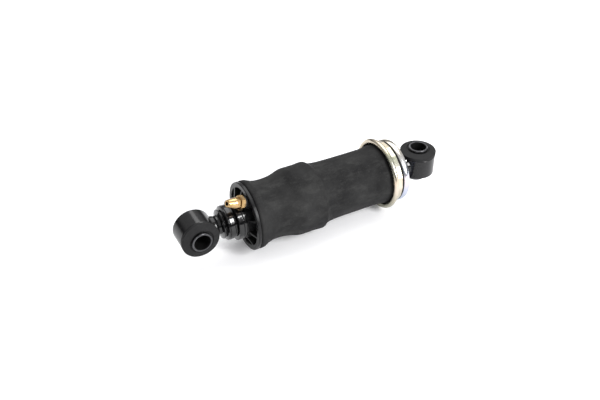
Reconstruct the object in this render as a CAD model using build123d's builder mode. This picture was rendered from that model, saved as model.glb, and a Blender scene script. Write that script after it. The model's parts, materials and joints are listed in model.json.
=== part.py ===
from build123d import *
import math
import os

# Rear cab air shock of a truck: an air-spring bellows over a twin-tube damper, with a
# rubber-bushed eye at each end. X runs along the shock from the upper (cab) eye to the lower
# eye, Z is up as the shock lies on a bench, and the origin is the centre of the upper bore.
# Lengths are millimetres and angles are degrees. Places along X are for the ride height.

os.makedirs("parts", exist_ok=True)

# --- driving dimensions ---------------------------------------------------------------------

eye_distance = 255.7
bolt_hole_radius = 8.1
sleeve_radius = 10.2
sleeve_length = 36.6
twist_gap = 0.05

ring_radius = 18.8
ring_bore_radius = 16.0
ring_width = 22.0
bush_lip_radius = 19.0
bush_lip_height = 14.3
bush_face_height = 16.3
bush_back_height = 12.8

rod_radius = 6.5
shank_radius = 5.0
rod_clearance = 0.03
compression_travel = 25.0
rebound_travel = 30.0
stop_gap = 0.6

cap_radius = 34.65
cap_front_x = 50.5
cap_groove_x = 53.8
cap_spigot_radius = 28.8
cap_spigot_end_x = 66.0
cap_floor_x = 58.0
cap_floor_thickness = 3.0
pocket_outer_radius = 29.5
spigot_bore_radius = 27.0
boss_radius = 20.6
boot_seat_radius = 19.4
boss_front_x = 39.5
boot_lip_x = 46.6
boot_clearance_radius = 20.6
web_x = 41.0
web_thickness = 6.0
rib_count = 10
rib_first_angle = 22.6
rib_thickness = 2.1

bellows_wall = 1.9
bellows_end_x = 217.1

crimp_radius = 33.9
crimp_bore_radius = 32.35
crimp_bead_radius = 2.75
crimp_bead_x = 205.3
crimp_start_x = 207.5
crimp_end_x = 214.2
crimp_jaws = 18

plate_x = 216.0
plate_rim_x = 217.2
plate_rim_radius = 33.3
plate_hub_radius = 29.9
plate_back_x = 223.5

inlet_angle = 68.0
inlet_tilt = 22.0
inlet_seat_x = 45.1
inlet_seat_radius = 27.7
inlet_roll = 15.0
inlet_hex = 13.0
inlet_hex_height = 4.7
inlet_nut_hex = 10.6
inlet_length = 17.4
inlet_bore_radius = 2.1
inlet_flow_radius = 1.4
inlet_shank_radius = 4.9
inlet_seal_thickness = 1.0

# --- places worked out from them ------------------------------------------------------------

mount_washer_thickness = 1.8
stem_flange_x = 27.5
upper_buffer_x = stem_flange_x + mount_washer_thickness
lower_buffer_x = web_x + web_thickness
lower_washer_x = 57.2
rod_shoulder_x = lower_washer_x + mount_washer_thickness
buffer_radius = 14.3
web_bore_radius = 8.0
recess_radius = 15.0

tube_radius = 24.0
tube_bore_radius = 22.0
pressure_bore_radius = 14.6
pressure_tube_radius = 16.2
bump_stop_end_x = 75.6
tube_top_x = bump_stop_end_x + compression_travel + stop_gap
tube_lip_thickness = 2.0
seal_x = tube_top_x + tube_lip_thickness
guide_x = seal_x + 4.6
guide_shoulder_x = guide_x + 6.2
guide_end_x = guide_shoulder_x + 4.0

rebound_stop_x = guide_end_x + rebound_travel + stop_gap
rebound_seat_x = rebound_stop_x + 6.2
piston_stack_x = rebound_seat_x + 1.6
disc_stack = 1.2
piston_x = piston_stack_x + disc_stack
piston_length = 10.0
piston_end_x = piston_x + piston_length
nut_x = piston_end_x + disc_stack
nut_height = 7.0
rod_end_x = nut_x + nut_height + 1.4
base_valve_x = rod_end_x + compression_travel + stop_gap
base_flange_x = base_valve_x + 3.0
tube_base_x = plate_x - 3.0


def radial_plane(angle):
    """Plane through the shock's axis: local x runs along the shock, local y points outward
    at an angle counted from -Y towards +Z."""
    turn = math.radians(angle)
    return Plane(origin=(0, 0, 0), x_dir=(1, 0, 0), z_dir=(0, -math.sin(turn), -math.cos(turn)))


def save(piece, label):
    piece.part.label = label
    export_step(piece.part, f"parts/{label}.step")


def ring_along_shock(label, start_x, end_x, outer_radius, inner_radius, edge_round=0.0):
    """A plain turned ring or washer on the shock's axis."""
    with BuildPart() as ring:
        with BuildSketch(Plane.YZ.offset(start_x)):
            Circle(outer_radius)
            Circle(inner_radius, mode=Mode.SUBTRACT)
        extrude(amount=end_x - start_x)
        if edge_round:
            rims = ring.edges().filter_by(GeomType.CIRCLE).group_by(SortBy.RADIUS)[-1]
            fillet(rims, edge_round)
    save(ring, label)


# --- the two eyes ---------------------------------------------------------------------------


def eye(side, plane):
    """Steel ring, bonded rubber bush and inner sleeve. The plane's normal is the bolt axis and
    points to the side where the bush has its flange."""
    bolt_axis = Axis(plane.origin, plane.z_dir)
    section = Plane(origin=plane.origin, x_dir=plane.x_dir, z_dir=plane.x_dir.cross(plane.z_dir))

    with BuildPart() as ring:
        with BuildSketch(plane):
            Circle(ring_radius)
            Circle(ring_bore_radius, mode=Mode.SUBTRACT)
        extrude(amount=ring_width / 2, both=True)
        fillet(ring.edges().filter_by(GeomType.CIRCLE).group_by(SortBy.RADIUS)[-1], 0.7)
    save(ring, f"{side}_eye_ring")

    with BuildPart() as bush:
        with BuildSketch(section):
            with BuildLine():
                bore_radius = sleeve_radius + twist_gap
                collar_radius = bore_radius + 1.1
                shoulder = (bush_lip_radius - 1.2, bush_lip_height)
                lip_edge = 0.5
                flange = Polyline(
                    (bore_radius, -bush_back_height),
                    (ring_bore_radius - 1.0, -bush_back_height),
                    (ring_bore_radius, -ring_width / 2),
                    (ring_bore_radius, ring_width / 2),
                    (bush_lip_radius - lip_edge, ring_width / 2),
                    (bush_lip_radius, ring_width / 2 + lip_edge),
                    (bush_lip_radius, bush_lip_height - lip_edge),
                )
                shoulder = (bush_lip_radius - lip_edge, bush_lip_height)
                RadiusArc(flange @ 1, shoulder, -lip_edge)
                Polyline(
                    shoulder,
                    (collar_radius + 1.0, bush_face_height),
                    (collar_radius, bush_face_height - 0.9),
                    (bore_radius, bush_face_height - 0.9),
                    flange @ 0,
                )
            make_face()
        revolve(axis=bolt_axis)
    save(bush, f"{side}_bush")

    with BuildPart() as sleeve:
        with BuildSketch(plane):
            Circle(sleeve_radius)
            Circle(bolt_hole_radius, mode=Mode.SUBTRACT)
        extrude(amount=sleeve_length / 2, both=True)
        chamfer(sleeve.edges().filter_by(GeomType.CIRCLE), 0.35)
    save(sleeve, f"{side}_inner_sleeve")


upper_eye_plane = Plane(origin=(0, 0, 0), x_dir=(1, 0, 0), z_dir=(0, -1, 0))
lower_eye_plane = Plane(origin=(eye_distance, 0, 0), x_dir=(1, 0, 0), z_dir=(0, 0, 1))
eye("upper", upper_eye_plane)
eye("lower", lower_eye_plane)

# --- stems that join the eyes to the shock --------------------------------------------------

neck_radius = 8.7
rod_thread_start_x = 20.0

with BuildPart() as upper_stem:
    with BuildSketch(Plane.XZ):
        with BuildLine():
            Polyline(
                (ring_radius - 4.0, 0),
                (ring_radius - 4.0, neck_radius + 2.0),
                (ring_radius, neck_radius + 1.6),
                (ring_radius + 2.0, neck_radius),
                (24.6, neck_radius),
                (25.2, neck_radius + 1.8),
                (stem_flange_x, neck_radius + 1.8),
                (stem_flange_x, shank_radius),
                (rod_thread_start_x, shank_radius),
                (rod_thread_start_x, 0),
                close=True,
            )
        make_face()
    revolve(axis=Axis.X)
    with BuildSketch(upper_eye_plane):
        Circle(ring_radius)
    extrude(amount=ring_width, both=True, mode=Mode.SUBTRACT)
save(upper_stem, "upper_stem")

lower_neck_radius = 9.2
lower_spigot_radius = 10.5
ring_near_x = eye_distance - ring_radius

with BuildPart() as lower_stem:
    with BuildSketch(Plane.XZ):
        with BuildLine():
            Polyline(
                (plate_x, 0),
                (plate_x, lower_spigot_radius),
                (plate_x + 4.5, lower_spigot_radius),
                (plate_x + 6.5, lower_neck_radius),
                (ring_near_x - 2.5, lower_neck_radius),
                (ring_near_x, lower_neck_radius + 1.6),
                (ring_near_x + 4.0, lower_neck_radius + 2.0),
                (ring_near_x + 4.0, 0),
                close=True,
            )
        make_face()
    revolve(axis=Axis.X)
    with BuildSketch(lower_eye_plane):
        Circle(ring_radius)
    extrude(amount=ring_width, both=True, mode=Mode.SUBTRACT)
save(lower_stem, "lower_stem")

# --- dust boot: neck collar, two folds, then two wide bands ---------------------------------

collar_height = 0.9
first_fold_radius = 14.8
second_fold_radius = 17.4
wide_band_radius = 20.3
boot_inner_radius = 14.8
boot_end_x = boot_lip_x - 0.2

with BuildPart() as dust_boot:
    with BuildSketch(Plane.XZ):
        with BuildLine():
            FilletPolyline(
                (20.8, neck_radius),
                (20.8, neck_radius + collar_height),
                (22.3, neck_radius + collar_height + 0.2),
                (23.4, 10.2),
                (24.6, first_fold_radius - 0.2),
                (25.4, first_fold_radius),
                (26.7, 13.0),
                (28.5, second_fold_radius - 0.3),
                (29.4, second_fold_radius - 0.1),
                (29.9, 16.7),
                (30.4, second_fold_radius),
                (34.6, second_fold_radius - 0.2),
                (35.6, 15.6),
                (36.6, 15.8),
                (37.6, wide_band_radius - 0.7),
                (38.0, wide_band_radius),
                (42.4, wide_band_radius),
                (43.0, 19.8),
                (43.6, wide_band_radius - 0.1),
                (45.2, wide_band_radius - 0.1),
                (45.7, wide_band_radius - 0.4),
                (boot_end_x, wide_band_radius - 0.2),
                (boot_end_x, boot_seat_radius),
                (38.8, boot_seat_radius),
                (37.2, boot_inner_radius),
                (31.2, boot_inner_radius),
                (28.9, 15.6),
                (27.2, 12.9),
                (26.4, 11.7),
                (25.2, 13.2),
                (24.2, 10.2),
                (23.3, neck_radius),
                radius=0.25,
                close=True,
            )
        make_face()
    revolve(axis=Axis.X)
save(dust_boot, "dust_boot")

# --- rubber pin mount that carries the cap on the rod ---------------------------------------

ring_along_shock("upper_washer", stem_flange_x, upper_buffer_x, 12.6, shank_radius, 0.4)
ring_along_shock("lower_washer", lower_washer_x, rod_shoulder_x, 14.0, shank_radius, 0.4)

for label, flat_x, face_x, spigot_x in (
    ("upper_buffer", upper_buffer_x, web_x, web_x + 2.9),
    ("lower_buffer", lower_washer_x, lower_buffer_x, lower_buffer_x - 2.9),
):
    waist_x = (flat_x + face_x) / 2
    with BuildPart() as buffer:
        with BuildSketch(Plane.XZ):
            with BuildLine():
                bulge = ThreePointArc(
                    (flat_x, buffer_radius - 0.9),
                    (waist_x, buffer_radius),
                    (face_x, buffer_radius - 0.9),
                )
                Polyline(
                    bulge @ 1,
                    (face_x, web_bore_radius),
                    (spigot_x, web_bore_radius),
                    (spigot_x, shank_radius),
                    (flat_x, shank_radius),
                    bulge @ 0,
                )
            make_face()
        revolve(axis=Axis.X)
    save(buffer, label)

# --- end cap with stiffening ribs and the air port ------------------------------------------

inlet_radial = radial_plane(inlet_angle)
inlet_turn = math.radians(inlet_tilt)
inlet_axis_dir = inlet_radial.y_dir * math.sin(inlet_turn) - Vector(1, 0, 0) * math.cos(inlet_turn)
inlet_seat = inlet_radial.from_local_coords((inlet_seat_x, inlet_seat_radius, 0))
inlet_corner_dir = inlet_radial.z_dir.rotate(Axis((0, 0, 0), inlet_axis_dir), inlet_roll)
inlet_plane = Plane(origin=inlet_seat, x_dir=inlet_corner_dir, z_dir=inlet_axis_dir)
port_boss_radius = 6.2
port_depth = 10.5
port_boss_length = 13.0
passage_length = 20.0

with BuildPart() as end_cap:
    with BuildSketch(Plane.XZ):
        with BuildLine():
            cap_start = Polyline(
                (web_x, web_bore_radius),
                (web_x, recess_radius),
                (boss_front_x, recess_radius),
                (boss_front_x, boot_seat_radius),
                (boot_lip_x, boot_seat_radius),
                (boot_lip_x, boss_radius),
                (cap_floor_x, boss_radius),
                (cap_floor_x, spigot_bore_radius),
                (cap_groove_x, spigot_bore_radius),
                (cap_front_x + 2.4, pocket_outer_radius - 0.9),
                (cap_front_x + 0.4, pocket_outer_radius),
                (cap_front_x, pocket_outer_radius + 0.4),
                (cap_front_x, cap_radius - 0.9),
            )
            rim_round = RadiusArc(cap_start @ 1, (cap_front_x + 0.9, cap_radius), 0.9)
            Polyline(
                rim_round @ 1,
                (cap_groove_x - 0.3, cap_radius),
                (cap_groove_x, cap_radius - 0.3),
                (cap_groove_x, cap_spigot_radius),
                (cap_spigot_end_x, cap_spigot_radius),
                (cap_spigot_end_x, spigot_bore_radius),
                (cap_floor_x + cap_floor_thickness, spigot_bore_radius),
                (cap_floor_x + cap_floor_thickness, recess_radius),
                (lower_buffer_x, recess_radius),
                (lower_buffer_x, web_bore_radius),
                (web_x, web_bore_radius),
            )
        make_face()
    revolve(axis=Axis.X)
    for index in range(rib_count):
        with BuildSketch(radial_plane(rib_first_angle + index * 360 / rib_count)):
            with BuildLine():
                Polyline(
                    (boot_lip_x + 0.3, boss_radius - 0.5),
                    (cap_front_x + 0.3, pocket_outer_radius + 0.3),
                    (cap_groove_x, spigot_bore_radius + 0.5),
                    (cap_floor_x + 0.5, spigot_bore_radius + 0.5),
                    (cap_floor_x + 0.5, boss_radius - 0.5),
                    close=True,
                )
            make_face()
        extrude(amount=rib_thickness / 2, both=True)
    with BuildSketch(inlet_plane.offset(-inlet_seal_thickness)):
        Circle(port_boss_radius)
    extrude(amount=-port_boss_length)
    with BuildSketch(Plane.YZ.offset(boot_lip_x)):
        Circle(boot_clearance_radius)
        Circle(boot_seat_radius, mode=Mode.SUBTRACT)
    extrude(amount=boss_front_x - boot_lip_x, mode=Mode.SUBTRACT)
    with BuildSketch(inlet_plane.offset(-inlet_seal_thickness)):
        Circle(inlet_shank_radius)
    extrude(amount=-port_depth, mode=Mode.SUBTRACT)
    with BuildSketch(inlet_plane.offset(-port_depth)):
        Circle(inlet_flow_radius)
    extrude(amount=-(passage_length - port_depth), mode=Mode.SUBTRACT)
save(end_cap, "end_cap")

# --- brass air inlet ------------------------------------------------------------------------

inlet_spigot_radius = 3.3
inlet_spigot_end = inlet_hex_height + 3.4
olive_start = inlet_spigot_end + 0.3
olive_end = olive_start + 3.0
olive_bore_radius = inlet_bore_radius + 0.3
nut_cavity_radius = 3.5
nut_cavity_end = olive_end + 0.3
nose_tip_radius = 3.65
nose_slope = 0.2
hex_to_corner = 1 / math.cos(math.radians(30))

with BuildPart() as inlet_seal:
    with BuildSketch(inlet_plane.offset(-inlet_seal_thickness)):
        Circle(port_boss_radius - 0.2)
        Circle(inlet_shank_radius, mode=Mode.SUBTRACT)
    extrude(amount=inlet_seal_thickness)
save(inlet_seal, "inlet_seal")

with BuildPart() as inlet_body:
    with BuildSketch(inlet_plane):
        RegularPolygon(radius=inlet_hex / 2 * hex_to_corner, side_count=6)
    extrude(amount=inlet_hex_height)
    hex_section = Plane(origin=inlet_plane.origin, x_dir=inlet_plane.x_dir, z_dir=-inlet_plane.y_dir)
    corner = inlet_hex / 2 * hex_to_corner
    with BuildSketch(hex_section):
        with BuildLine():
            Polyline(
                (0, 0),
                (inlet_hex / 2 + 0.3, 0),
                (corner, 0.6),
                (corner, inlet_hex_height - 0.6),
                (inlet_hex / 2 + 0.3, inlet_hex_height),
                (0, inlet_hex_height),
                close=True,
            )
        make_face()
    revolve(axis=Axis(inlet_plane.origin, inlet_plane.z_dir), mode=Mode.INTERSECT)
    with BuildSketch(inlet_plane):
        Circle(inlet_shank_radius)
    extrude(amount=-(port_depth - inlet_seal_thickness))
    with BuildSketch(inlet_plane.offset(inlet_hex_height)):
        Circle(inlet_spigot_radius)
    extrude(amount=inlet_spigot_end - inlet_hex_height)
    with BuildSketch(inlet_plane.offset(-port_depth)):
        Circle(inlet_flow_radius)
    extrude(amount=port_depth + inlet_spigot_end, mode=Mode.SUBTRACT)
save(inlet_body, "inlet_body")

with BuildPart() as inlet_nut:
    with BuildSketch(inlet_plane.offset(inlet_hex_height)):
        RegularPolygon(radius=inlet_nut_hex / 2 * hex_to_corner, side_count=6)
    extrude(amount=inlet_length - inlet_hex_height)
    nose_base_radius = nose_tip_radius + nose_slope * (inlet_length - inlet_hex_height)
    with BuildSketch(hex_section):
        with BuildLine():
            Polyline(
                (0, inlet_hex_height),
                (nose_base_radius, inlet_hex_height),
                (nose_tip_radius + 0.1, inlet_length - 0.5),
                (nose_tip_radius - 0.4, inlet_length),
                (0, inlet_length),
                close=True,
            )
        make_face()
    revolve(axis=Axis(inlet_plane.origin, inlet_plane.z_dir), mode=Mode.INTERSECT)
    with BuildSketch(inlet_plane.offset(inlet_hex_height)):
        Circle(nut_cavity_radius)
    extrude(amount=nut_cavity_end - inlet_hex_height, mode=Mode.SUBTRACT)
    with BuildSketch(inlet_plane.offset(nut_cavity_end)):
        Circle(inlet_bore_radius)
    extrude(amount=inlet_length - nut_cavity_end, mode=Mode.SUBTRACT)
save(inlet_nut, "inlet_nut")

with BuildPart() as inlet_ferrule:
    with BuildSketch(inlet_plane.offset(olive_start)):
        Circle(nut_cavity_radius - 0.2)
        Circle(olive_bore_radius, mode=Mode.SUBTRACT)
    extrude(amount=olive_end - olive_start)
    chamfer(inlet_ferrule.edges().filter_by(GeomType.CIRCLE).group_by(SortBy.RADIUS)[-1], 0.6)
save(inlet_ferrule, "inlet_ferrule")

# --- bellows, folded back over a clamp ring at the cap --------------------------------------

fold_x = 57.2
fold_outer_radius = 34.7
fold_inner_radius = cap_spigot_radius + 0.05
clamp_outer_radius = 31.6
clamp_inner_radius = 30.5
clamp_end_x = 61.6
tucked_end_x = 64.4
fold_reach = (fold_outer_radius - fold_inner_radius) / 2
tail_radius = 32.9
waist_points = [
    (67, 31.6),
    (78, 30.2),
    (98, 34.8),
    (124, 35.3),
    (131, 32.1),
    (145, 30.5),
    (193, 30.2),
    (201, 31.7),
]
crimped_radius = 32.1
rubber_round = 4.0
inner_waist_points = [(x, radius - bellows_wall) for x, radius in reversed(waist_points)]

with BuildPart() as bellows:
    with BuildSketch(Plane.XZ):
        with BuildLine():
            outer_fold = ThreePointArc(
                (fold_x, fold_inner_radius),
                (fold_x - fold_reach, fold_inner_radius + fold_reach),
                (fold_x, fold_outer_radius),
            )
            outer_wall = FilletPolyline(
                outer_fold @ 1,
                (60.8, fold_outer_radius - 0.2),
                *waist_points,
                (crimp_start_x, crimped_radius),
                radius=rubber_round,
            )
            tail = Polyline(
                outer_wall @ 1,
                (crimp_end_x, crimped_radius),
                (crimp_end_x + 0.5, tail_radius),
                (bellows_end_x, tail_radius),
                (bellows_end_x, plate_hub_radius + 0.1),
                (crimp_start_x, plate_hub_radius + 0.1),
            )
            inner_wall = FilletPolyline(
                tail @ 1,
                *inner_waist_points,
                (clamp_end_x, clamp_outer_radius),
                radius=rubber_round,
            )
            clamp_top = Line(inner_wall @ 1, (fold_x, clamp_outer_radius))
            clamp_round = ThreePointArc(
                clamp_top @ 1,
                (fold_x - 0.55, (clamp_outer_radius + clamp_inner_radius) / 2),
                (fold_x, clamp_inner_radius),
            )
            Polyline(
                clamp_round @ 1,
                (tucked_end_x, clamp_inner_radius),
                (tucked_end_x, fold_inner_radius),
                outer_fold @ 0,
            )
        make_face()
    revolve(axis=Axis.X)
save(bellows, "bellows")

ring_along_shock(
    "bellows_clamp_ring", fold_x, clamp_end_x, clamp_outer_radius - 0.02, clamp_inner_radius + 0.02
)

# --- crimp ring and end plate ---------------------------------------------------------------

bead_centre = (crimp_bead_x, crimp_bore_radius + crimp_bead_radius)
bead_wall = 1.1
bead_open_angle = 15
bead_sweep = 270 - bead_open_angle

with BuildPart() as crimp_ring:
    with BuildSketch(Plane.YZ.offset(crimp_start_x)):
        RegularPolygon(radius=crimp_radius, side_count=crimp_jaws)
        Circle(crimp_bore_radius, mode=Mode.SUBTRACT)
    extrude(amount=crimp_end_x - crimp_start_x)
    with BuildSketch(Plane.XZ):
        with BuildLine():
            bead_out = CenterArc(bead_centre, crimp_bead_radius, bead_open_angle, bead_sweep)
            bead_in = CenterArc(bead_centre, crimp_bead_radius - bead_wall, bead_open_angle, bead_sweep)
            Line(bead_out @ 0, bead_in @ 0)
            Polyline(
                bead_out @ 1,
                (crimp_start_x, crimp_bore_radius),
                (crimp_start_x, crimp_bore_radius + bead_wall),
                bead_in @ 1,
            )
        make_face()
    revolve(axis=Axis.X)
save(crimp_ring, "crimp_ring")

plate_hub_x = 206.0
plate_web_end_x = plate_x + 2.5
rim_middle_x = (plate_rim_x + plate_back_x) / 2
rim_edge_radius = plate_rim_radius - 0.5
nib_angle = 46.3
nib_width = 1.1

with BuildPart() as end_plate:
    with BuildSketch(Plane.XZ):
        with BuildLine():
            crown = ThreePointArc(
                (plate_rim_x + 0.4, rim_edge_radius),
                (rim_middle_x, plate_rim_radius),
                (plate_back_x - 0.4, rim_edge_radius),
            )
            FilletPolyline(
                crown @ 1,
                (plate_back_x, rim_edge_radius - 0.4),
                (plate_back_x, plate_rim_radius - 2.2),
                (plate_web_end_x + 0.6, plate_rim_radius - 3.0),
                (plate_web_end_x, plate_rim_radius - 5.0),
                (plate_web_end_x, lower_spigot_radius),
                radius=0.15,
            )
            Polyline(
                (plate_web_end_x, lower_spigot_radius),
                (plate_x, lower_spigot_radius),
                (plate_x, plate_hub_radius - 2.1),
                (plate_hub_x, plate_hub_radius - 2.1),
                (plate_hub_x, plate_hub_radius),
                (plate_rim_x, plate_hub_radius),
                (plate_rim_x, rim_edge_radius - 0.4),
                crown @ 0,
            )
        make_face()
    revolve(axis=Axis.X)
    with BuildSketch(radial_plane(nib_angle)):
        with BuildLine():
            Polyline(
                (plate_back_x - 0.6, rim_edge_radius - 0.9),
                (plate_back_x - 0.6, rim_edge_radius + 0.1),
                (plate_back_x + 0.5, rim_edge_radius + 0.3),
                (plate_back_x + 0.6, rim_edge_radius - 0.4),
                (plate_back_x + 0.1, rim_edge_radius - 0.9),
                close=True,
            )
        make_face()
    extrude(amount=nib_width / 2, both=True)
save(end_plate, "end_plate")

# --- damper: rod, piston and stops ----------------------------------------------------------

with BuildPart() as piston_rod:
    with BuildSketch(Plane.XZ):
        with BuildLine():
            Polyline(
                (rod_thread_start_x, 0),
                (rod_thread_start_x, shank_radius),
                (rod_shoulder_x, shank_radius),
                (rod_shoulder_x, rod_radius),
                (piston_stack_x, rod_radius),
                (piston_stack_x, shank_radius),
                (rod_end_x - 0.8, shank_radius),
                (rod_end_x, shank_radius - 0.8),
                (rod_end_x, 0),
                close=True,
            )
        make_face()
    revolve(axis=Axis.X)
save(piston_rod, "piston_rod")

bump_stop_radius = 13.5

with BuildPart() as bump_stop:
    with BuildSketch(Plane.XZ):
        with BuildLine():
            FilletPolyline(
                (rod_shoulder_x, rod_radius),
                (rod_shoulder_x, bump_stop_radius),
                (65.4, bump_stop_radius),
                (67.2, bump_stop_radius - 2.2),
                (69.0, bump_stop_radius - 0.6),
                (bump_stop_end_x, bump_stop_radius - 1.6),
                (bump_stop_end_x, rod_radius),
                radius=[0.05, 0.8, 0.8, 0.8, 0.8, 0.8, 0.8],
                close=True,
            )
        make_face()
    revolve(axis=Axis.X)
save(bump_stop, "bump_stop")

ring_along_shock("rebound_stop", rebound_stop_x, rebound_seat_x, 11.0, rod_radius, 0.8)
ring_along_shock("rebound_seat", rebound_seat_x, piston_stack_x, 12.2, rod_radius, 0.3)
ring_along_shock("intake_discs", piston_stack_x, piston_x, 12.2, shank_radius)
ring_along_shock("rebound_discs", piston_end_x, nut_x, 11.6, shank_radius)

piston_radius = 14.3
band_inset = 2.6
band_depth = 0.7
port_count = 6
port_circle_radius = 9.0
port_radius = 1.5

with BuildPart() as piston:
    with BuildSketch(Plane.YZ.offset(piston_x)):
        Circle(piston_radius)
        Circle(shank_radius, mode=Mode.SUBTRACT)
        with PolarLocations(port_circle_radius, port_count):
            Circle(port_radius, mode=Mode.SUBTRACT)
    extrude(amount=piston_length)
    with BuildSketch(Plane.YZ.offset(piston_x + band_inset)):
        Circle(piston_radius + 1.0)
        Circle(piston_radius - band_depth, mode=Mode.SUBTRACT)
    extrude(amount=piston_length - 2 * band_inset, mode=Mode.SUBTRACT)
save(piston, "piston")

ring_along_shock(
    "piston_band",
    piston_x + band_inset,
    piston_end_x - band_inset,
    pressure_bore_radius - 0.05,
    piston_radius - band_depth,
)

piston_nut_hex = 17.0

with BuildPart() as piston_nut:
    with BuildSketch(Plane.YZ.offset(nut_x)):
        RegularPolygon(radius=piston_nut_hex / 2 * hex_to_corner, side_count=6)
        Circle(shank_radius, mode=Mode.SUBTRACT)
    extrude(amount=nut_height)
save(piston_nut, "piston_nut")

# --- damper: tubes, guide, seal and base valve ----------------------------------------------

with BuildPart() as reserve_tube:
    with BuildSketch(Plane.XZ):
        with BuildLine():
            tube_mouth = Polyline(
                (tube_top_x, 12.0),
                (tube_top_x, tube_radius - 1.5),
            )
            mouth_round = RadiusArc(tube_mouth @ 1, (tube_top_x + 1.5, tube_radius), 1.5)
            Polyline(
                mouth_round @ 1,
                (plate_x, tube_radius),
                (plate_x, tube_bore_radius),
                (seal_x, tube_bore_radius),
                (seal_x, 12.0),
                tube_mouth @ 0,
            )
        make_face()
    revolve(axis=Axis.X)
save(reserve_tube, "reserve_tube")

ring_along_shock("rod_seal", seal_x, guide_x, tube_bore_radius, rod_radius + rod_clearance)

guide_bush_radius = rod_radius + 1.0

with BuildPart() as rod_guide:
    with BuildSketch(Plane.XZ):
        with BuildLine():
            Polyline(
                (guide_x, guide_bush_radius),
                (guide_x, tube_bore_radius),
                (guide_shoulder_x, tube_bore_radius),
                (guide_shoulder_x, pressure_bore_radius),
                (guide_end_x, pressure_bore_radius),
                (guide_end_x, guide_bush_radius),
                close=True,
            )
        make_face()
    revolve(axis=Axis.X)
save(rod_guide, "rod_guide")

ring_along_shock(
    "guide_bush", guide_x + 0.6, guide_end_x - 0.6, guide_bush_radius, rod_radius + rod_clearance
)
ring_along_shock(
    "pressure_tube", guide_shoulder_x, base_flange_x, pressure_tube_radius, pressure_bore_radius
)

base_flange_radius = 19.5
base_foot_bore_radius = 16.8
base_flange_end_x = base_flange_x + 2.4
base_pin_radius = 2.5
base_disc_end_x = base_flange_end_x + 0.8
foot_slot_width = 7.0

with BuildPart() as base_valve:
    with BuildSketch(Plane.XZ):
        with BuildLine():
            Polyline(
                (base_valve_x, base_pin_radius),
                (base_valve_x, pressure_bore_radius),
                (base_flange_x, pressure_bore_radius),
                (base_flange_x, base_flange_radius),
                (tube_base_x, base_flange_radius),
                (tube_base_x, base_foot_bore_radius),
                (base_flange_end_x, base_foot_bore_radius),
                (base_flange_end_x, base_pin_radius),
                close=True,
            )
        make_face()
    revolve(axis=Axis.X)
    with BuildSketch(Plane.YZ.offset(base_valve_x)):
        with PolarLocations(port_circle_radius - 1.0, port_count):
            Circle(port_radius)
    extrude(amount=base_flange_end_x - base_valve_x, mode=Mode.SUBTRACT)
    with BuildSketch(Plane.YZ.offset(base_flange_end_x)):
        with PolarLocations(base_flange_radius, 4):
            Rectangle(foot_slot_width, foot_slot_width)
    extrude(amount=tube_base_x - base_flange_end_x, mode=Mode.SUBTRACT)
save(base_valve, "base_valve")

ring_along_shock("base_discs", base_flange_end_x, base_disc_end_x, 10.8, base_pin_radius)

with BuildPart() as base_pin:
    with BuildSketch(Plane.YZ.offset(base_valve_x)):
        Circle(base_pin_radius)
    extrude(amount=base_disc_end_x - base_valve_x)
    with BuildSketch(Plane.YZ.offset(base_disc_end_x)):
        Circle(base_pin_radius + 2.0)
    extrude(amount=0.9)
save(base_pin, "base_pin")

with BuildPart() as tube_base:
    with BuildSketch(Plane.YZ.offset(tube_base_x)):
        Circle(tube_bore_radius)
    extrude(amount=plate_x - tube_base_x)
    fillet(tube_base.edges().filter_by(GeomType.CIRCLE).sort_by(Axis.X)[0], 1.0)
save(tube_base, "tube_base")
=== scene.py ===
import bmesh
import bpy
import json
import math
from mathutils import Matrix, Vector, noise


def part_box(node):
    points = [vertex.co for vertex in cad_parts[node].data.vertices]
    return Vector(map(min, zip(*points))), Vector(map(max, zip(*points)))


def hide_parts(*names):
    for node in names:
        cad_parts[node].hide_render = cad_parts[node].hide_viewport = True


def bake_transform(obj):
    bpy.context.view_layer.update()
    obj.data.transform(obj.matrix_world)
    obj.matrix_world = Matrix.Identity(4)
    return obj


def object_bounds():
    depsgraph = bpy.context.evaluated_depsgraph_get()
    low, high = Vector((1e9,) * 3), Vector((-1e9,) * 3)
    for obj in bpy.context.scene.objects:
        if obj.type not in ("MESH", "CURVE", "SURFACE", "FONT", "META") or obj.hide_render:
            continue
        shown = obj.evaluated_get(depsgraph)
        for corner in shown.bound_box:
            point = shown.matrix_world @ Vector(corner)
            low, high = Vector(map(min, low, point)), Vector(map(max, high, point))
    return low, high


# Looks for the rear cab air shock. Metres, in the CAD frame: X runs along the shock from the
# upper eye to the lower eye, Z is up as it lies on the floor, -Y is the camera's side.

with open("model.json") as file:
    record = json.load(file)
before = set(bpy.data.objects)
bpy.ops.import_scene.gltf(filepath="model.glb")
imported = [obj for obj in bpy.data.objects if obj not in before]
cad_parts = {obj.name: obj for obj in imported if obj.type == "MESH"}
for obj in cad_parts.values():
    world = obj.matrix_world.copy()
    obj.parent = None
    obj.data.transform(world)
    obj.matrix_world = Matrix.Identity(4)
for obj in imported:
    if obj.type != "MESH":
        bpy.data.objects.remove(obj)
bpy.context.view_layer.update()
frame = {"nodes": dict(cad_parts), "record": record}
MM = 0.001


# --- small tools ------------------------------------------------------------------------------


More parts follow.
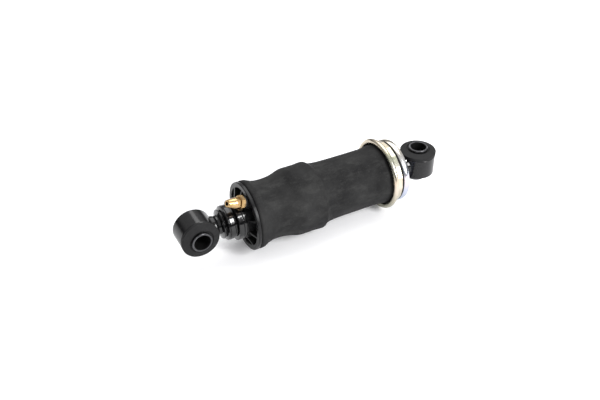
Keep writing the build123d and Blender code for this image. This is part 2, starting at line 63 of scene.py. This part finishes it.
def smooth_curve(points, per_span):
    """Points of a monotone cubic (x, r) curve through the given points."""
    xs = [p[0] for p in points]
    rs = [p[1] for p in points]
    count = len(points)
    slopes = [(rs[i + 1] - rs[i]) / (xs[i + 1] - xs[i]) for i in range(count - 1)]
    tangents = [slopes[0]]
    for i in range(1, count - 1):
        before, after = slopes[i - 1], slopes[i]
        tangents.append(0.0 if before * after <= 0 else 2 * before * after / (before + after))
    tangents.append(slopes[-1])
    curve = []
    for i in range(count - 1):
        width = xs[i + 1] - xs[i]
        for k in range(per_span):
            t = k / per_span
            t2, t3 = t * t, t * t * t
            r = (
                (2 * t3 - 3 * t2 + 1) * rs[i]
                + (t3 - 2 * t2 + t) * width * tangents[i]
                + (3 * t2 - 2 * t3) * rs[i + 1]
                + (t3 - t2) * width * tangents[i + 1]
            )
            curve.append((xs[i] + t * width, r))
    curve.append((xs[-1], rs[-1]))
    return curve


def arc(centre, radius, start, end, steps):
    """Points of an arc in the (x, r) plane; degrees are counted from +x towards +r."""
    points = []
    for k in range(steps + 1):
        angle = math.radians(start + (end - start) * k / steps)
        points.append((centre[0] + radius * math.cos(angle), centre[1] + radius * math.sin(angle)))
    return points


def turned(name, outline, segments, shape=None):
    """A closed ring of the (x, r) outline, in mm, round the shock's axis. shape(x, r, angle) may
    move each point; the angle is counted from -Y towards +Z."""
    mesh = bpy.data.meshes.new(name)
    verts = []
    for k in range(segments):
        angle = 2 * math.pi * k / segments
        for x, r in outline:
            if shape is not None:
                px, pr = shape(x, r, angle)
            else:
                px, pr = x, r
            verts.append((px * MM, -pr * math.cos(angle) * MM, pr * math.sin(angle) * MM))
    size = len(outline)
    faces = []
    for k in range(segments):
        a, b = k * size, (k + 1) % segments * size
        for i in range(size):
            j = (i + 1) % size
            faces.append((a + i, a + j, b + j, b + i))
    mesh.from_pydata(verts, [], faces)
    mesh.update()
    piece = bpy.data.objects.new(name, mesh)
    bpy.context.collection.objects.link(piece)
    work = bmesh.new()
    work.from_mesh(mesh)
    bmesh.ops.recalc_face_normals(work, faces=work.faces)
    work.to_mesh(mesh)
    work.free()
    mesh.polygons.foreach_set("use_smooth", [True] * len(mesh.polygons))
    return piece


# --- materials --------------------------------------------------------------------------------


class Shader:
    """A Principled material with a few short ways to add procedural detail."""

    def __init__(self, name, colour, roughness, metallic=0.0, coat=0.0, coat_roughness=0.1, specular=0.5):
        self.material = bpy.data.materials.new(name)
        self.material.use_nodes = True
        self.tree = self.material.node_tree
        self.bsdf = self.tree.nodes["Principled BSDF"]
        self.bsdf.inputs["Base Color"].default_value = (*colour, 1)
        self.bsdf.inputs["Roughness"].default_value = roughness
        self.bsdf.inputs["Metallic"].default_value = metallic
        self.bsdf.inputs["Coat Weight"].default_value = coat
        self.bsdf.inputs["Coat Roughness"].default_value = coat_roughness
        self.bsdf.inputs["Specular IOR Level"].default_value = specular
        self.height = None

    def node(self, kind, **values):
        made = self.tree.nodes.new(kind)
        for key, value in values.items():
            setattr(made, key, value)
        return made

    def link(self, a, b):
        self.tree.links.new(a, b)

    def place(self, scale=(1, 1, 1)):
        """Object coordinates, stretched by scale."""
        coords = self.node("ShaderNodeTexCoord")
        mapping = self.node("ShaderNodeMapping")
        mapping.inputs["Scale"].default_value = scale
        self.link(coords.outputs["Object"], mapping.inputs["Vector"])
        return mapping.outputs["Vector"]

    def noise(self, scale, detail=4.0, roughness=0.55, stretch=(1, 1, 1)):
        made = self.node("ShaderNodeTexNoise")
        made.inputs["Scale"].default_value = scale
        made.inputs["Detail"].default_value = detail
        made.inputs["Roughness"].default_value = roughness
        self.link(self.place(stretch), made.inputs["Vector"])
        return made.outputs["Fac"]

    def ramp(self, value, stops):
        """A colour ramp of (place, colour) stops."""
        made = self.node("ShaderNodeValToRGB")
        ramp = made.color_ramp
        while len(ramp.elements) < len(stops):
            ramp.elements.new(0.5)
        for element, (place, colour) in zip(ramp.elements, stops):
            element.position = place
            element.color = (*colour, 1) if len(colour) == 3 else colour
        self.link(value, made.inputs["Fac"])
        return made.outputs["Color"]

    def grey(self, value, low, high, start=0.35, end=0.65):
        """Maps a texture value between start and end to a number from low to high."""
        made = self.node("ShaderNodeMapRange")
        made.inputs["From Min"].default_value = start
        made.inputs["From Max"].default_value = end
        made.inputs["To Min"].default_value = low
        made.inputs["To Max"].default_value = high
        self.link(value, made.inputs["Value"])
        return made.outputs["Result"]

    def mix(self, factor, first, second):
        made = self.node("ShaderNodeMix", data_type="RGBA")
        for socket, value in ((made.inputs[6], first), (made.inputs[7], second)):
            if isinstance(value, tuple):
                socket.default_value = (*value, 1)
            else:
                self.link(value, socket)
        self.link(factor, made.inputs[0])
        return made.outputs[2]

    def math(self, operation, first, second=0.0):
        made = self.node("ShaderNodeMath", operation=operation)
        for socket, value in zip(made.inputs, (first, second)):
            if isinstance(value, (int, float)):
                socket.default_value = value
            else:
                self.link(value, socket)
        return made.outputs[0]

    def bearing(self, low, high):
        """0 to 1 as the angle round the shock's axis goes from low to high degrees; it is counted
        from -Y towards +Z."""
        coords = self.node("ShaderNodeTexCoord")
        split = self.node("ShaderNodeSeparateXYZ")
        self.link(coords.outputs["Object"], split.inputs[0])
        angle = self.math("ARCTAN2", split.outputs["Z"], self.math("MULTIPLY", split.outputs["Y"], -1.0))
        return self.grey(angle, 0, 1, math.radians(low), math.radians(high))

    def colour(self, value):
        self.link(value, self.bsdf.inputs["Base Color"])

    def rough(self, value):
        self.link(value, self.bsdf.inputs["Roughness"])

    def bump(self, value, distance, strength=1.0):
        """Adds a bump layer, distance in mm, on top of the layers already there."""
        made = self.node("ShaderNodeBump")
        made.inputs["Distance"].default_value = distance * MM
        made.inputs["Strength"].default_value = strength
        self.link(value, made.inputs["Height"])
        if self.height is not None:
            self.link(self.height, made.inputs["Normal"])
        self.height = made.outputs["Normal"]
        self.link(self.height, self.bsdf.inputs["Normal"])


def bellows_rubber():
    s = Shader("bellows_rubber_look", (0.017, 0.017, 0.018), 0.66, specular=0.10)
    cloud = s.noise(26, detail=6, roughness=0.62)
    base = s.mix(s.grey(cloud, 0, 1, 0.36, 0.66), (0.006, 0.006, 0.0064), (0.026, 0.026, 0.026))
    rubbed = s.noise(120, detail=5, roughness=0.7, stretch=(0.4, 1, 1))
    base = s.mix(s.grey(rubbed, 0, 0.5, 0.5, 0.72), base, (0.042, 0.042, 0.041))
    dust = s.noise(900, detail=2)
    base = s.mix(s.grey(dust, 0, 0.35, 0.6, 0.78), base, (0.07, 0.07, 0.07))
    specks = s.node("ShaderNodeTexVoronoi")
    specks.inputs["Scale"].default_value = 62
    s.link(s.place(), specks.inputs["Vector"])
    base = s.mix(s.grey(specks.outputs["Distance"], 0.8, 0, 0.012, 0.03), base, (0.16, 0.16, 0.16))
    s.colour(base)
    s.rough(s.grey(cloud, 0.62, 0.76))
    s.bump(s.noise(55, detail=3), 0.30)
    s.bump(s.noise(520, detail=3), 0.07)
    weave = s.node("ShaderNodeTexWave", wave_type="BANDS", bands_direction="X")
    weave.inputs["Scale"].default_value = 190
    weave.inputs["Distortion"].default_value = 0.7
    s.link(s.place(), weave.inputs["Vector"])
    s.bump(weave.outputs["Fac"], 0.02)
    return s.material


def black_paint():
    s = Shader("black_paint_look", (0.007, 0.007, 0.0075), 0.16, specular=0.28)
    cloud = s.noise(120, detail=4)
    s.colour(s.mix(s.grey(cloud, 0, 1), (0.005, 0.005, 0.0055), (0.010, 0.010, 0.0105)))
    s.rough(s.grey(s.noise(60, detail=4), 0.12, 0.20))
    s.bump(s.noise(900, detail=2), 0.018)
    s.bump(s.noise(160, detail=2), 0.05)
    return s.material


def bush_rubber():
    s = Shader("bush_rubber_look", (0.014, 0.014, 0.0145), 0.55, specular=0.15)
    cloud = s.noise(90, detail=5)
    s.colour(s.mix(s.grey(cloud, 0, 1), (0.010, 0.010, 0.0105), (0.017, 0.017, 0.0175)))
    s.rough(s.grey(cloud, 0.55, 0.72))
    s.bump(s.noise(700, detail=3), 0.03)
    s.bump(s.noise(110, detail=2), 0.10)
    return s.material


def gloss_boot():
    s = Shader("gloss_boot_look", (0.003, 0.003, 0.0033), 0.09, specular=0.46)
    s.rough(s.grey(s.noise(150, detail=4), 0.07, 0.13))
    s.bump(s.noise(260, detail=2), 0.05)
    return s.material


def cap_plastic():
    s = Shader("cap_plastic_look", (0.009, 0.009, 0.0095), 0.32, specular=0.20)
    cloud = s.noise(140, detail=5)
    s.colour(s.mix(s.grey(cloud, 0, 1), (0.006, 0.006, 0.0065), (0.012, 0.012, 0.0125)))
    s.rough(s.grey(cloud, 0.27, 0.38))
    s.bump(s.noise(1500, detail=2), 0.02)
    return s.material


def painted_shade_black():
    """Dull near-black, a painted shade for the bores and the bottoms of the cap's pockets."""
    s = Shader("painted_shade_look", (0.003, 0.003, 0.003), 0.75, specular=0.12)
    s.colour(s.mix(s.grey(s.noise(200, detail=4), 0, 1), (0.002, 0.002, 0.002), (0.005, 0.005, 0.005)))
    s.bump(s.noise(600, detail=2), 0.03)
    return s.material


def plain_metal(name, dark, light, roughness, streak=(1, 1, 1), metallic=1.0, bump=0.01):
    s = Shader(name, light, roughness, metallic=metallic)
    cloud = s.noise(240, detail=5, stretch=streak)
    s.colour(s.mix(s.grey(cloud, 0, 1), dark, light))
    s.rough(s.grey(cloud, roughness - 0.06, roughness + 0.08))
    s.bump(cloud, bump)
    return s.material


def plated(name, stops, roughness, low, high):
    """Passivated zinc: colours that change round the part between the bearings low and high, partly thin-film
    hue and partly painted reflection, with a slow drift and faint rubbing marks."""
    s = Shader(name, stops[0][1], roughness, metallic=1.0)
    drift = s.math("MULTIPLY", s.math("SUBTRACT", s.noise(46, detail=3, roughness=0.5), 0.5), 0.16)
    fine = s.noise(700, detail=3, stretch=(3, 1, 1))
    s.colour(s.ramp(s.math("ADD", s.bearing(low, high), drift), stops))
    s.rough(s.grey(fine, roughness - 0.05, roughness + 0.08))
    s.bump(fine, 0.012)
    return s.material


def brass():
    s = Shader("brass_look", (0.50, 0.34, 0.16), 0.20, metallic=1.0)
    cloud = s.noise(260, detail=4)
    s.colour(s.mix(s.grey(cloud, 0, 1), (0.35, 0.22, 0.09), (0.49, 0.33, 0.16)))
    s.rough(s.grey(cloud, 0.16, 0.27))
    s.bump(s.noise(900, detail=2, stretch=(4, 1, 1)), 0.015)
    return s.material


def plain_soft(name, dark, light, roughness):
    s = Shader(name, light, roughness)
    cloud = s.noise(160, detail=4)
    s.colour(s.mix(s.grey(cloud, 0, 1), dark, light))
    s.rough(s.grey(cloud, roughness - 0.05, roughness + 0.08))
    s.bump(cloud, 0.04)
    return s.material


# Stops by bearing round the axis mix thin-film hue with painted reflection; the lighter stop at 0.60, near 44
# degrees, is a painted highlight.
YELLOW_ZINC = [
    (0.00, (0.40, 0.39, 0.31)),
    (0.20, (0.46, 0.42, 0.34)),
    (0.32, (0.56, 0.49, 0.41)),
    (0.42, (0.56, 0.46, 0.36)),
    (0.52, (0.46, 0.45, 0.36)),
    (0.60, (0.62, 0.60, 0.53)),
    (0.70, (0.46, 0.47, 0.36)),
    (0.82, (0.55, 0.50, 0.38)),
    (1.00, (0.52, 0.46, 0.37)),
]
# Stops by bearing mix thin-film hue with painted reflection; the light grey stop at 0.62, near 47 degrees, is
# a painted highlight.
CLEAR_ZINC = [
    (0.00, (0.40, 0.45, 0.56)),
    (0.25, (0.46, 0.48, 0.58)),
    (0.37, (0.60, 0.50, 0.52)),
    (0.48, (0.52, 0.56, 0.62)),
    (0.62, (0.66, 0.66, 0.66)),
    (0.80, (0.58, 0.54, 0.47)),
    (1.00, (0.52, 0.48, 0.42)),
]

LOOKS = {
    "bellows_rubber": bellows_rubber(),
    "black_paint": black_paint(),
    "bush_rubber": bush_rubber(),
    "dark_steel": plain_metal("dark_steel_look", (0.05, 0.05, 0.053), (0.10, 0.10, 0.105), 0.36),
    "gloss_boot": gloss_boot(),
    "cap_plastic": cap_plastic(),
    "brass": brass(),
    "seal_rubber": plain_soft("seal_rubber_look", (0.015, 0.015, 0.016), (0.03, 0.03, 0.03), 0.5),
    "yellow_zinc": plated("yellow_zinc_look", YELLOW_ZINC, 0.24, -40, 100),
    "clear_zinc": plated("clear_zinc_look", CLEAR_ZINC, 0.20, -40, 100),
    "steel": plain_metal("steel_look", (0.40, 0.40, 0.41), (0.56, 0.56, 0.57), 0.34),
    "chromed_rod": plain_metal("chromed_rod_look", (0.74, 0.75, 0.77), (0.84, 0.85, 0.87), 0.10),
    "tube_steel": plain_metal("tube_steel_look", (0.30, 0.30, 0.31), (0.44, 0.44, 0.45), 0.38),
    "sintered": plain_metal("sintered_look", (0.22, 0.22, 0.23), (0.34, 0.34, 0.35), 0.55, bump=0.03),
    "bearing_polymer": plain_soft("bearing_polymer_look", (0.22, 0.16, 0.11), (0.32, 0.24, 0.17), 0.5),
    "bump_foam": plain_soft("bump_foam_look", (0.50, 0.43, 0.28), (0.64, 0.57, 0.40), 0.8),
}


def dress(piece, look):
    piece.data.materials.clear()
    piece.data.materials.append(look)


def darken(piece, look, inside):
    """Gives look, as a second material, to the faces for whose centre inside(x, y, z), in mm,
    is true."""
    piece.data.materials.append(look)
    for face in piece.data.polygons:
        x, y, z = (value / MM for value in face.center)
        if inside(x, y, z):
            face.material_index = 1


for subpart in frame["record"]["subparts"]:
    dress(frame["nodes"][subpart["node"]], LOOKS[subpart["material_slot"]])

# Painted shade: the sleeves' bores, the inlet's bore and the cap's pockets take little light, so their faces
# get a near-black second material.
BORE_RADIUS = 8.6
EYE_DISTANCE = 255.7
painted_shade = painted_shade_black()
darken(frame["nodes"]["upper_inner_sleeve"], painted_shade, lambda x, y, z: math.hypot(x, z) < BORE_RADIUS)
darken(
    frame["nodes"]["lower_inner_sleeve"],
    painted_shade,
    lambda x, y, z: math.hypot(x - EYE_DISTANCE, y) < BORE_RADIUS,
)
inlet_mount = next(mount for mount in frame["record"]["mounts"] if mount["name"] == "air_inlet")
inlet_point = Vector(inlet_mount["pos_m"]) / MM
inlet_line = Vector(inlet_mount["axis"])
inlet_wall = inlet_mount["dims"]["r_mm"] + 0.2


def in_inlet(x, y, z):
    return (Vector((x, y, z)) - inlet_point).cross(inlet_line).length < inlet_wall


# Painted shade in the inlet's bore: near-black second material on its inner faces.
for name in ("inlet_nut", "inlet_body", "inlet_ferrule"):
    darken(frame["nodes"][name], painted_shade, in_inlet)

# Painted shade on the bottoms of the cap's pockets: near-black second material.
POCKET_X = 52.0
POCKET_RADIUS = 29.4
darken(
    frame["nodes"]["end_cap"],
    painted_shade,
    lambda x, y, z: x > POCKET_X and math.hypot(y, z) < POCKET_RADIUS,
)

# --- bellows ----------------------------------------------------------------------------------

_, bellows_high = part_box("bellows")
_, crimp_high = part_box("crimp_ring")

# Millimetres, in the half-section: X along the shock, radii from its axis.
WALL = 1.9
FOLD_X = 57.0
FOLD_TOP = 34.7
SPIGOT_RADIUS = 28.9
TAIL_RADIUS = 32.9
TAIL_ROUND = 0.8
TAIL_X = crimp_high.x / MM
BELLOWS_END_X = bellows_high.x / MM
CRIMPED_RADIUS = 32.05
CRIMPED_X = 207.5
HUB_RADIUS = 30.1
HUB_X = 208.0
CURVE_STEPS = 7
SHOULDER_X = 128
SHOULDER_SPREAD = 14
SHOULDER_LEAN = 0.9
SHOULDER_TURN = math.radians(285)
UNEVEN_FROM, UNEVEN_FADE_IN = 60, 12
UNEVEN_TO, UNEVEN_FADE_OUT = 204, 10
WAVE_HEIGHT, RIPPLE_HEIGHT = 0.28, 0.07
WAVE_ALONG, WAVE_ROUND = 0.035, 1.6
RIPPLE_ALONG, RIPPLE_ROUND = 0.11, 4.0

outer_wall = [
    (FOLD_X, FOLD_TOP),
    (60.0, 34.4),
    (63.0, 33.1),
    (67.0, 31.6),
    (72.0, 30.5),
    (78.0, 30.35),
    (85.0, 30.9),
    (92.0, 32.4),
    (98.0, 34.2),
    (103.0, 34.85),
    (114.0, 34.8),
    (121.0, 35.15),
    (124.5, 35.25),
    (129.0, 32.6),
    (134.0, 31.3),
    (145.0, 30.55),
    (160.0, 30.5),
    (176.0, 30.3),
    (190.0, 30.3),
    (200.0, 31.4),
    (CRIMPED_X, CRIMPED_RADIUS),
]


def bellows_outline():
    """Outer wall from the fold to the crimped end, then back along the inner wall."""
    reach = (FOLD_TOP - SPIGOT_RADIUS) / 2
    fold = arc((FOLD_X, SPIGOT_RADIUS + reach), reach, 270, 90, 16)
    outer = smooth_curve(outer_wall, CURVE_STEPS)
    tail = [(TAIL_X, CRIMPED_RADIUS), (TAIL_X + 0.3, TAIL_RADIUS - 0.5)]
    tail += arc((BELLOWS_END_X - TAIL_ROUND, TAIL_RADIUS - TAIL_ROUND), TAIL_ROUND, 110, 0, 6)
    inner_end = [(BELLOWS_END_X, HUB_RADIUS), (HUB_X, HUB_RADIUS)]
    free_wall = outer[4 * CURVE_STEPS : -CURVE_STEPS]
    inner = [(x, r - WALL) for x, r in reversed(free_wall)]
    tucked = [(64.0, 30.8), (64.4, 29.6), (64.2, SPIGOT_RADIUS)]
    return fold + outer[1:] + tail + inner_end + inner + tucked


def bellows_shape(x, r, angle):
    """The bulge's far shoulder leans a little, and hand-laid rubber is never quite round."""
    lean = math.exp(-(((x - SHOULDER_X) / SHOULDER_SPREAD) ** 2))
    px = x + lean * SHOULDER_LEAN * math.cos(angle - SHOULDER_TURN)
    fade_in = max(0.0, min(1.0, (x - UNEVEN_FROM) / UNEVEN_FADE_IN))
    fade_out = max(0.0, min(1.0, (UNEVEN_TO - x) / UNEVEN_FADE_OUT))
    wave = Vector((x * WAVE_ALONG, WAVE_ROUND * math.cos(angle), WAVE_ROUND * math.sin(angle)))
    ripple = Vector((x * RIPPLE_ALONG, RIPPLE_ROUND * math.cos(angle), RIPPLE_ROUND * math.sin(angle)))
    sag = WAVE_HEIGHT * noise.noise(wave) + RIPPLE_HEIGHT * noise.noise(ripple)
    return px, r + fade_in * fade_out * sag


bellows = turned("bellows_skin", bellows_outline(), 288, bellows_shape)
dress(bellows, LOOKS["bellows_rubber"])
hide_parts("bellows")
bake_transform(bellows)

# --- stage ------------------------------------------------------------------------------------

low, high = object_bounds()
FLOOR_SIZE = 12.0
floor_mesh = bpy.data.meshes.new("floor")
half = FLOOR_SIZE / 2
floor_mesh.from_pydata(
    [(-half, -half, 0), (half, -half, 0), (half, half, 0), (-half, half, 0)], [], [(0, 1, 2, 3)]
)
floor = bpy.data.objects.new("floor", floor_mesh)
floor.location = (0, 0, low.z)
bpy.context.collection.objects.link(floor)
floor_look = Shader("floor_look", (0.94, 0.94, 0.95), 0.7)
floor_grain = floor_look.noise(60, detail=3)
floor_look.colour(floor_look.mix(floor_look.grey(floor_grain, 0, 1), (0.93, 0.93, 0.945), (0.95, 0.95, 0.96)))
floor_look.bsdf.inputs["Emission Color"].default_value = (0.98, 0.98, 1.0, 1)
floor_look.bsdf.inputs["Emission Strength"].default_value = 0.10
dress(floor, floor_look.material)

scene = bpy.context.scene
scene.view_settings.view_transform = "Standard"
world = bpy.data.worlds.new("studio")
scene.world = world
world.use_nodes = True
sky = world.node_tree
background = sky.nodes["Background"]
coords = sky.nodes.new("ShaderNodeTexCoord")
split = sky.nodes.new("ShaderNodeSeparateXYZ")
sky.links.new(coords.outputs["Generated"], split.inputs[0])
dome = sky.nodes.new("ShaderNodeValToRGB")
for _ in range(3):
    dome.color_ramp.elements.new(0.5)
# (place from straight down to straight up, level): a dark band just over the horizon.
DOME = ((0.0, 1.0), (0.50, 0.9), (0.515, 0.06), (0.60, 0.10), (0.72, 0.75))
for element, (place, level) in zip(dome.color_ramp.elements, DOME):
    element.position = place
    element.color = (level, level, level, 1)
lift = sky.nodes.new("ShaderNodeMath")
lift.operation = "MULTIPLY_ADD"
lift.inputs[1].default_value = 0.5
lift.inputs[2].default_value = 0.5
sky.links.new(split.outputs["Z"], lift.inputs[0])
sky.links.new(lift.outputs[0], dome.inputs["Fac"])
path = sky.nodes.new("ShaderNodeLightPath")
choose = sky.nodes.new("ShaderNodeMix")
choose.data_type = "RGBA"
sky.links.new(path.outputs["Is Camera Ray"], choose.inputs[0])
sky.links.new(dome.outputs["Color"], choose.inputs[6])
choose.inputs[7].default_value = (1, 1, 1, 1)
sky.links.new(choose.outputs[2], background.inputs["Color"])
background.inputs["Strength"].default_value = 1.0


def softbox(name, toward, distance, size, power, aim=(0.12, 0, 0)):
    """An area light on the direction toward, looking back at aim."""
    light = bpy.data.lights.new(name, "AREA")
    light.shape = "RECTANGLE"
    light.size, light.size_y = size
    light.energy = power
    lamp = bpy.data.objects.new(name, light)
    direction = Vector(toward).normalized()
    lamp.location = Vector(aim) + direction * distance
    lamp.rotation_mode = "QUATERNION"
    lamp.rotation_quaternion = direction.to_track_quat("Z", "Y")
    bpy.context.collection.objects.link(lamp)
    return lamp


softbox("front_strip", (0.378, -0.776, 0.504), 1.3, (0.24, 0.75), 19.0)
softbox("overhead", (0.35, 0.45, 1.0), 1.4, (1.3, 1.3), 17.0)

CAMERA_AIM = Vector((0.1114, -0.0025, 0))
CAMERA_DISTANCE = 0.7474
CAMERA_AZIMUTH = math.radians(-28.23)
CAMERA_ELEVATION = math.radians(36.93)
CAMERA_LENS = 44.68

back = Vector(
    (
        math.sin(CAMERA_AZIMUTH) * math.cos(CAMERA_ELEVATION),
        -math.cos(CAMERA_AZIMUTH) * math.cos(CAMERA_ELEVATION),
        math.sin(CAMERA_ELEVATION),
    )
)
lens = bpy.data.cameras.new("camera")
lens.lens = CAMERA_LENS
lens.sensor_width = 36.0
camera = bpy.data.objects.new("camera", lens)
camera.location = CAMERA_AIM + back * CAMERA_DISTANCE
camera.rotation_mode = "QUATERNION"
camera.rotation_quaternion = back.to_track_quat("Z", "Y")
bpy.context.collection.objects.link(camera)
scene.camera = camera
